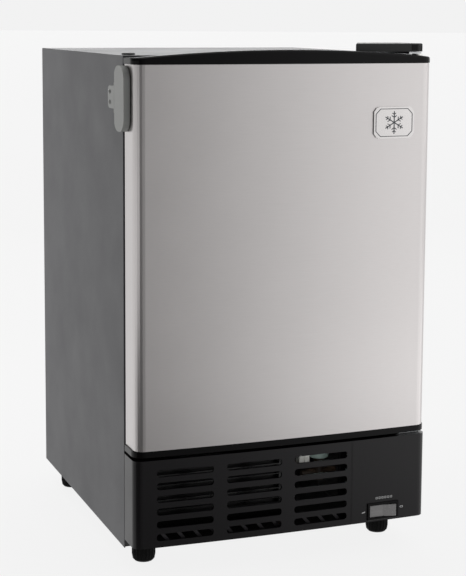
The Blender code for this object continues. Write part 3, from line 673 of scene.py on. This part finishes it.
@dataclass
class SwitchMarks:
    """Plain dash and oval beside the rocker, and a row of small squares over it."""

    face: BowedFace
    rise: float = 0.00005
    oval_gap: float = 0.0050
    oval_up: float = 0.0018
    oval_radius: float = 0.0024
    oval_line: float = 0.0009
    oval_steps: int = 16
    flatness: float = 0.55
    dash_gap: float = 0.0052
    dash: Pair = (0.0046, 0.0012)
    dash_slant: float = 0.0009
    cells: int = 6
    cell: float = 0.0022
    line: float = 0.0006
    step: float = 0.0040
    row_shift: float = 0.0015
    row_gap: float = 0.0058

    def _oval(self, x: float, z: float) -> list[Surface]:
        """Flattened ring made of short arcs.

        Args:
            x: Its centre's x.
            z: Its centre's z.

        Returns:
            One plate for each arc.
        """
        outer, inner = self.oval_radius, self.oval_radius - self.oval_line
        parts = []
        for i in range(self.oval_steps):
            a = math.tau * i / self.oval_steps
            b = math.tau * (i + 1) / self.oval_steps
            outline = [
                (x + r * math.cos(t), z + self.flatness * r * math.sin(t))
                for r, t in ((outer, a), (outer, b), (inner, b), (inner, a))
            ]
            parts.append(Shapes.plate_on(self.face, outline, self.rise))
        return parts

    def _bar(self, x: float, z: float, size: Pair, slant: float = 0.0) -> Surface:
        """Bar whose right end may stand higher than its left.

        Args:
            x: Its centre's x.
            z: Its centre's z.
            size: Width and height in metres.
            slant: How much higher the right end stands.

        Returns:
            Points and faces.
        """
        wide, tall = size
        outline = [
            (x + sx * wide / 2, z + sz * tall / 2 + sx * slant / 2)
            for sx, sz in ((-1, -1), (1, -1), (1, 1), (-1, 1))
        ]
        return Shapes.plate_on(self.face, outline, self.rise)

    def _square(self, x: float, z: float) -> list[Surface]:
        """Open square of four thin bars.

        Args:
            x: Its centre's x.
            z: Its centre's z.

        Returns:
            The four bars.
        """
        half = self.cell / 2
        flat, upright = (self.cell, self.line), (self.line, self.cell)
        return [
            self._bar(x, z + half, flat),
            self._bar(x, z - half, flat),
            self._bar(x + half, z, upright),
            self._bar(x - half, z, upright),
        ]

    def build(self) -> None:
        """Lay the marks beside and above the bezel."""
        low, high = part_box("switch_bezel")
        middle = (low.z + high.z) / 2
        parts = self._oval(high.x + self.oval_gap, middle + self.oval_up)
        parts.append(self._bar(low.x - self.dash_gap, middle, self.dash, self.dash_slant))
        centre = (low.x + high.x) / 2 + self.row_shift
        for i in range(self.cells):
            x = centre + (i - (self.cells - 1) / 2) * self.step
            parts += self._square(x, high.z + self.row_gap)
        Shapes.piece("switch_marks", Shapes.join(parts), PRINT, "cabinet")


@dataclass
class BadgeArt:
    """Snow crystal and border on the door's plain badge."""

    face: BowedFace
    arm: float = 0.0135
    arm_line: float = 0.0012
    forks: tuple[Pair, ...] = ((0.45, 0.30), (0.72, 0.22))
    fork_turn: float = 55.0
    fork_line: float = 0.0009
    border_gap: float = 0.0026
    border_cut: float = 0.006
    border_line: float = 0.0008
    rise: float = 0.00025

    def _stroke(self, start: Pair, end: Pair, wide: float) -> Surface:
        """Straight raised line between two places.

        Args:
            start: x and z of one end.
            end: x and z of the other.
            wide: Width in metres.

        Returns:
            Points and faces.
        """
        (ax, az), (bx, bz) = start, end
        along = Vector((bx - ax, bz - az)).normalized()
        side = Vector((-along.y, along.x)) * wide / 2
        outline = [
            (ax + side.x, az + side.y), (ax - side.x, az - side.y),
            (bx - side.x, bz - side.y), (bx + side.x, bz + side.y),
        ]
        return Shapes.plate_on(self.face, outline, self.rise, 0.0)

    def _crystal_arm(self, centre: Pair, turn: float) -> list[Surface]:
        """One arm of the crystal with its forks.

        Args:
            centre: x and z of the crystal.
            turn: Direction of the arm, in radians.

        Returns:
            The arm and its forks.
        """
        cx, cz = centre
        c, s = math.cos(turn) * self.arm, math.sin(turn) * self.arm
        parts = [self._stroke(centre, (cx + c, cz + s), self.arm_line)]
        for share, length in self.forks:
            root = (cx + c * share, cz + s * share)
            reach = self.arm * length
            for side in (-1, 1):
                fork = turn + side * math.radians(self.fork_turn)
                end = (root[0] + math.cos(fork) * reach, root[1] + math.sin(fork) * reach)
                parts.append(self._stroke(root, end, self.fork_line))
        return parts

    def build(self) -> None:
        """Draw the crystal's six arms and the border."""
        low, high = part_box("door_badge")
        cx = (low.x + high.x) / 2
        cz = (low.z + high.z) / 2
        parts = []
        for i in range(6):
            parts += self._crystal_arm((cx, cz), math.radians(30 + 60 * i))
        wide = (high.x - low.x) / 2 - self.border_gap
        tall = (high.z - low.z) / 2 - self.border_gap
        cut = self.border_cut
        corners = [
            (wide - cut, tall), (-wide + cut, tall), (-wide, tall - cut), (-wide, -tall + cut),
            (-wide + cut, -tall), (wide - cut, -tall), (wide, -tall + cut), (wide, tall - cut),
        ]
        for (ax, az), (bx, bz) in zip(corners, corners[1:] + corners[:1]):
            parts.append(self._stroke((cx + ax, cz + az), (cx + bx, cz + bz), self.border_line))
        Shapes.piece("badge_art", Shapes.join(parts), INK, "door")


@dataclass
class PanelDetail:
    """Seam of the control section, slanted ribs behind the bottom slots, and the condenser's seal."""

    face: BowedFace
    seam_from_middle: float = 0.0877
    seam_gap: float = 0.0007
    seam_half: float = 0.00035
    seam_margin: float = 0.001
    seam_rise: float = 0.00018
    rib_start: float = 0.160
    rib_step: float = 0.020
    rib_count: int = 13
    rib_wide: float = 0.005
    rib_deep: float = 0.002
    rib_lean: float = 0.011
    rib_height: float = 0.013
    rib_behind: float = 0.0040
    floor_rise: float = 0.0062
    seal_height: float = 0.0175
    seal_front: float = 0.001
    seal_back: float = 0.013
    seal_left: float = 0.022
    seal_right: float = 0.001
    seal_gap: float = 0.0002
    seal_edge: Pair = (0.0015, 0.002)

    def _seam(self, low: Vector, high: Vector) -> None:
        """Two fine lines across the panel's height.

        Args:
            low: Lowest corner of the panel's box.
            high: Highest corner of the panel's box.
        """
        bottom, top = low.z + self.seam_margin, high.z - self.seam_margin
        parts = []
        for side in (-1, 1):
            at = self.face.centre + self.seam_from_middle + side * self.seam_gap
            left, right = at - self.seam_half, at + self.seam_half
            outline = [(left, bottom), (right, bottom), (right, top), (left, top)]
            parts.append(Shapes.plate_on(self.face, outline, self.seam_rise))
        Shapes.piece("panel_seam", Shapes.join(parts), SATIN_BLACK, "cabinet")

    def _ribs(self, low: Vector) -> None:
        """Row of slanted ribs just behind the panel.

        Args:
            low: Lowest corner of the panel's box.
        """
        floor = low.z + self.floor_rise
        near = self.face.corner_line + self.rib_behind
        far = near + self.rib_deep
        parts = []
        for i in range(self.rib_count):
            x = self.face.centre - self.rib_start + i * self.rib_step
            sections = []
            for z, lean in ((floor, self.rib_lean), (floor + self.rib_height, 0.0)):
                a, b = x + lean, x + lean + self.rib_wide
                sections.append([(a, near, z), (b, near, z), (b, far, z), (a, far, z)])
            parts.append(Shapes.loft(sections))
        # The ribs take the lighter black as a painted highlight inside the slots.
        Shapes.piece("panel_ribs", Shapes.join(parts), RIB_PAINTED_HIGHLIGHT, "cabinet")

    def _seal(self) -> None:
        """Foam strip that closes the gap under the condenser."""
        low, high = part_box("condenser")
        bottom = (low.x + self.seal_left, low.y + self.seal_front, low.z - self.seal_height)
        top = (high.x - self.seal_right, low.y + self.seal_back, low.z - self.seal_gap)
        Shapes.piece("condenser_seal", Shapes.block(bottom, top, *self.seal_edge), RUBBER, "cabinet")

    def build(self) -> None:
        """Lay the seam, and set the ribs and the seal inside."""
        low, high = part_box("kick_panel")
        self._seam(low, high)
        self._ribs(low)
        self._seal()


@dataclass
class HingeCap:
    """Dark cap, and an end rib in a lighter black as a painted highlight, laid on the front of the hinge
    cover.
    """

    cap_from_right: float = 0.0150
    cap_wide: float = 0.0078
    rib_from_right: float = 0.0048
    rib_wide: float = 0.0009
    bottom_drop: float = 0.0086
    top_drop: float = 0.0016
    gap: float = 0.00002
    rise: float = 0.0003

    def _plate(self, name: str, from_right: float, wide: float, finish: Finish) -> None:
        """Thin plate on the cover's front.

        Args:
            name: Piece name.
            from_right: Distance of its left edge from the cover's right end.
            wide: Width in metres.
            finish: What it is made of.
        """
        low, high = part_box("hinge_cover")
        left, right = high.x - from_right, high.x - from_right + wide
        bottom, top = high.z - self.bottom_drop, high.z - self.top_drop
        outline = [(left, bottom), (right, bottom), (right, top), (left, top)]
        back = low.y - self.gap
        sections = [[(x, y, z) for x, z in outline] for y in (back, back - self.rise)]
        Shapes.piece(name, Shapes.loft(sections), finish, "cabinet")

    def build(self) -> None:
        """Lay the cap and the rib on the cover's front face."""
        self._plate("hinge_cap", self.cap_from_right, self.cap_wide, GLOSS_BLACK)
        # The rib's lighter black is a painted highlight.
        self._plate("hinge_cap_rib", self.rib_from_right, self.rib_wide, HINGE_RIB_HIGHLIGHT)


@dataclass
class BayWiring:
    """Short wires held inside the machine bay, from the control box to the switch, fan and valve."""

    radius: float = 0.0013
    touch: float = 0.0008
    housing: Point = (0.0065, 0.011, 0.017)
    housing_gap: float = 0.0022
    housing_drop: float = 0.021
    housing_edge: Pair = (0.0008, 0.001)
    way_gap: float = 0.0006
    blade_radius: float = 0.0009
    coil_radius: float = 0.012

    def _wire(self, name: str, finish: Finish, points: list[Point]) -> None:
        """Round wire through the points, riding on the cabinet.

        Args:
            name: Piece name.
            finish: Its insulation.
            points: Places it passes, in metres.
        """
        Shapes.piece(name, Shapes.tube(Shapes.smooth(points), self.radius), finish, "cabinet")

    def _connector(self, valve_low: Vector, valve_high: Vector) -> None:
        """Two-way connector housing plugged to the valve's left side.

        Args:
            valve_low: Lowest corner of the valve's box.
            valve_high: Highest corner of the valve's box.
        """
        wide, deep, tall = self.housing
        right = (valve_low.x + valve_high.x) / 2 - self.coil_radius - self.housing_gap
        middle = (valve_low.y + valve_high.y) / 2
        top = valve_high.z - self.housing_drop
        front, back = middle - deep / 2, middle + deep / 2
        parts = []
        for way in (0, 1):
            x = right - wide * (way + 1) - self.way_gap * way
            parts.append(Shapes.block((x, front, top - tall), (x + wide, back, top), *self.housing_edge))
        half_way = top - tall / 2
        blade = [Vector((right - 0.001, middle, half_way)), Vector((right + 0.002, middle, half_way))]
        parts.append(Shapes.tube(blade, self.blade_radius))
        Shapes.piece("valve_connector", Shapes.join(parts), NYLON, "cabinet")

    def build(self) -> None:
        """Run each wire from box to box, and set the connector."""
        box_low, box_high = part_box("control_box")
        switch_low, switch_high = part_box("switch_bezel")
        valve_low, valve_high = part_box("hot_gas_valve")
        motor_low, motor_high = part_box("fan_motor")
        middle = (box_low + box_high) / 2
        switch = (switch_low + switch_high) / 2
        bezel_back, box_left = switch_high.y, box_low.x - self.touch
        self._wire("wire_switch", WIRE_WHITE, [
            (switch.x, bezel_back + self.touch, switch.z),
            (switch.x, bezel_back + 0.012, switch.z + 0.004),
            (middle.x, box_low.y - 0.012, middle.z - 0.01),
            (middle.x, box_low.y - self.touch, middle.z - 0.008),
        ])
        valve_y = valve_low.y + 0.016
        self._wire("wire_valve", WIRE_BLUE, [
            (box_left, middle.y, middle.z + 0.02),
            (box_low.x - 0.012, middle.y - 0.004, middle.z + 0.024),
            (valve_high.x + 0.012, valve_y, valve_high.z - 0.012),
            (valve_high.x + 0.001, valve_y, valve_high.z - 0.014),
        ])
        self._wire("wire_fan", WIRE_BLACK, [
            (box_left, middle.y + 0.01, middle.z - 0.02),
            (box_low.x - 0.03, middle.y + 0.05, middle.z - 0.03),
            (motor_high.x + 0.03, motor_high.y + 0.02, middle.z - 0.026),
            ((motor_low.x + motor_high.x) / 2 + 0.012, motor_high.y + 0.0012, middle.z - 0.004),
        ])
        self._connector(valve_low, valve_high)


@dataclass(frozen=True)
class Lamp:
    """Soft rectangular lamp: its place and aim, width and height in metres, and watts.

    gloss says whether it shows in reflections.
    """

    name: str
    place: Point
    aim: Point
    size: Pair
    power: float
    gloss: bool = True

    def build(self) -> None:
        """Stand the lamp in the scene, out of the camera's sight."""
        data = bpy.data.lights.new(self.name, "AREA")
        data.shape = "RECTANGLE"
        data.size, data.size_y = self.size
        data.energy = self.power
        lamp = bpy.data.objects.new(self.name, data)
        bpy.context.scene.collection.objects.link(lamp)
        lamp.location = self.place
        lamp.visible_camera = False
        lamp.visible_glossy = self.gloss
        lamp.rotation_mode = "QUATERNION"
        lamp.rotation_quaternion = (Vector(self.aim) - Vector(self.place)).to_track_quat("-Z", "Y")


LAMPS = (
    Lamp("key_right", (2.6, -1.9, 1.3), (0.0, -0.2, 0.32), (1.6, 2.4), 14.0),
    Lamp("top_soft", (-0.3, 0.3, 2.6), (0.0, 0.0, 0.3), (2.2, 2.2), 14.0),
    Lamp("side_back", (-0.80, 0.85, 0.4), (-0.19, 0.15, 0.32), (0.4, 1.1), 6.5, gloss=False),
    Lamp("bay_fill", (0.072, -0.168, 0.146), (0.072, -0.150, 0.118), (0.05, 0.008), 0.022, gloss=False),
    Lamp("rim_back", (0.7, 2.3, 1.2), (0.0, 0.0, 0.61), (2.6, 0.9), 10.0),
)


@dataclass
class Studio:
    """Pale floor, soft light and the camera."""

    place: Point = (-0.6813, -1.8444, 0.6570)
    yaw: float = 20.713
    pitch: float = 7.152
    roll: float = -0.326
    lens: float = 94.58
    shift: float = -0.1441
    backdrop: float = 0.887
    dark_side: Point = (-0.85, -0.52, 0.0)
    floor_level: float = -0.0002
    floor_rings: tuple[float, ...] = (0.5, 1.2, 3.0, 12.0, 60.0)
    floor_sides: int = 96
    floor_glow: float = 0.86
    card_ends: Pair = (-1.3, 1.9)
    card_columns: int = 12
    upright_stops: tuple[Pair, ...] = ((-0.3, 0.12), (0.05, 0.36), (0.35, 0.68), (0.75, 1.12))
    floor_stops: tuple[Pair, ...] = ((-0.3, 0.06), (0.05, 0.34), (0.35, 0.84), (0.75, 1.3))

    def _world(self) -> None:
        """Pale surroundings that grow dark towards the front left."""
        world = bpy.data.worlds.new("studio")
        bpy.context.scene.world = world
        world.use_nodes = True
        tree = world.node_tree
        ground = tree.nodes["Background"]
        place = tree.nodes.new("ShaderNodeTexCoord")
        dot = tree.nodes.new("ShaderNodeVectorMath")
        dot.operation = "DOT_PRODUCT"
        dot.inputs[1].default_value = Vector(self.dark_side).normalized()
        tree.links.new(place.outputs["Generated"], dot.inputs[0])
        ramp = tree.nodes.new("ShaderNodeValToRGB")
        ramp.color_ramp.interpolation = "EASE"
        first, last = ramp.color_ramp.elements
        first.position = 0.0
        first.color = (self.backdrop, self.backdrop, self.backdrop, 1.0)
        last.position = 0.7
        last.color = (0.035, 0.033, 0.034, 1.0)
        tree.links.new(dot.outputs["Value"], ramp.inputs["Fac"])
        tree.links.new(ramp.outputs["Color"], ground.inputs["Color"])
        ground.inputs["Strength"].default_value = 1.0

    def _floor(self) -> None:
        """Wide pale floor that fades out of sight."""
        made = bmesh.new()
        count = self.floor_sides
        turns = [math.tau * k / count for k in range(count)]
        rows = []
        for radius in self.floor_rings:
            ring = [(radius * math.cos(turn), radius * math.sin(turn), self.floor_level) for turn in turns]
            rows.append([made.verts.new(place) for place in ring])
        made.faces.new(rows[0])
        for low, high in zip(rows, rows[1:]):
            for k in range(count):
                j = (k + 1) % count
                made.faces.new((low[k], high[k], high[j], low[j]))
        mesh = bpy.data.meshes.new("floor")
        made.to_mesh(mesh)
        made.free()
        floor = bpy.data.objects.new("floor", mesh)
        bpy.context.scene.collection.objects.link(floor)
        material = PAPER.build()
        shader = material.node_tree.nodes["Principled BSDF"]
        shader.inputs["Emission Color"].default_value = (1.0, 1.0, 1.0, 1.0)
        shader.inputs["Emission Strength"].default_value = self.floor_glow
        mesh.materials.append(material)

    def _gradient(self, name: str, stops: tuple[Pair, ...]) -> bpy.types.Material:
        """Glowing material whose brightness runs along x.

        Args:
            name: Name of the material.
            stops: x and brightness pairs from left to right.

        Returns:
            The material.
        """
        left, right = self.card_ends
        span = right - left
        material = bpy.data.materials.new(name)
        material.use_nodes = True
        tree = material.node_tree
        shader = tree.nodes["Principled BSDF"]
        shader.inputs["Base Color"].default_value = (0.0, 0.0, 0.0, 1.0)
        shader.inputs["Emission Strength"].default_value = 1.0
        place = tree.nodes.new("ShaderNodeTexCoord")
        split = tree.nodes.new("ShaderNodeSeparateXYZ")
        spread = tree.nodes.new("ShaderNodeMapRange")
        spread.inputs["From Min"].default_value = left
        spread.inputs["From Max"].default_value = right
        ramp = tree.nodes.new("ShaderNodeValToRGB")
        marks = ramp.color_ramp.elements
        for mark, (x, level) in zip(marks, (stops[0], stops[-1])):
            mark.position = (x - left) / span
            mark.color = (level, level, level, 1.0)
        for x, level in stops[1:-1]:
            marks.new((x - left) / span).color = (level, level, level, 1.0)
        tree.links.new(place.outputs["Object"], split.inputs["Vector"])
        tree.links.new(split.outputs["X"], spread.inputs["Value"])
        tree.links.new(spread.outputs["Result"], ramp.inputs["Fac"])
        tree.links.new(ramp.outputs["Color"], shader.inputs["Emission Color"])
        return material

    def _gradient_card(self, name: str, edges: tuple[Pair, Pair], stops: tuple[Pair, ...]) -> None:
        """Card that is dark on the left, bright on the right and seen only in gloss.

        Args:
            name: Name of the card.
            edges: y and z of its near and far edge.
            stops: x and brightness pairs from left to right.
        """
        left, right = self.card_ends
        span = right - left
        places = [left + span * k / self.card_columns for k in range(self.card_columns + 1)]
        made = bmesh.new()
        low, high = ([made.verts.new((x, y, z)) for x in places] for y, z in edges)
        for k in range(self.card_columns):
            made.faces.new((low[k], low[k + 1], high[k + 1], high[k]))
        mesh = bpy.data.meshes.new(name)
        made.to_mesh(mesh)
        made.free()
        card = bpy.data.objects.new(name, mesh)
        bpy.context.scene.collection.objects.link(card)
        mesh.materials.append(self._gradient(name, stops))
        card.visible_camera = False
        card.visible_diffuse = False
        card.visible_shadow = False
        card.visible_transmission = False

    def _camera(self) -> None:
        """Camera at the front left, looking slightly down."""
        data = bpy.data.cameras.new("camera")
        data.sensor_width = 36.0
        data.lens = self.lens
        data.shift_y = self.shift
        data.clip_end = 200.0
        camera = bpy.data.objects.new("camera", data)
        bpy.context.scene.collection.objects.link(camera)
        yaw, pitch, roll = (math.radians(angle) for angle in (self.yaw, self.pitch, self.roll))
        ahead = Vector((math.sin(yaw) * math.cos(pitch), math.cos(yaw) * math.cos(pitch), -math.sin(pitch)))
        right = Vector((math.cos(yaw), -math.sin(yaw), 0.0))
        down = ahead.cross(right)
        tilted = right * math.cos(roll) + down * math.sin(roll)
        lower = -right * math.sin(roll) + down * math.cos(roll)
        turn = Matrix((tilted, -lower, -ahead)).transposed()
        camera.matrix_world = Matrix.Translation(Vector(self.place)) @ turn.to_4x4()
        bpy.context.scene.camera = camera

    def build(self) -> None:
        """Set the surroundings, the floor, the lamps and the camera."""
        bpy.context.scene.view_settings.view_transform = "Standard"
        self._world()
        self._floor()
        self._gradient_card("upright_card", ((-1.15, 0.0006), (-1.15, 2.0)), self.upright_stops)
        self._gradient_card("floor_card", ((-0.235, 0.0006), (-1.15, 0.0006)), self.floor_stops)
        for lamp in LAMPS:
            lamp.build()
        self._camera()
        LOG.info("studio ready")


def main() -> None:
    """Dress the CAD model, add the details and light the scene."""
    logging.basicConfig(level=logging.INFO, format="%(name)s: %(message)s")
    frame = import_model()
    kick_low, kick_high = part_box("kick_panel")
    skin_low, skin_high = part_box("door_skin")
    centre = (kick_low.x + kick_high.x) / 2
    kick = BowedFace(centre, (kick_high.x - kick_low.x) / 2, kick_low.y + KICK_BOW, KICK_BOW, KICK_CORNER)
    door = BowedFace(centre, (skin_high.x - skin_low.x) / 2, skin_low.y + DOOR_BOW, DOOR_BOW, DOOR_CORNER)
    badge = replace(door, corner_line=door.corner_line - BADGE_STANDS_OUT)
    Dressing(frame["nodes"]).build()
    Screws().build()
    SwitchMarks(kick).build()
    BadgeArt(badge).build()
    PanelDetail(kick).build()
    HingeCap().build()
    BayWiring().build()
    Studio().build()


if __name__ == "__main__":
    main()
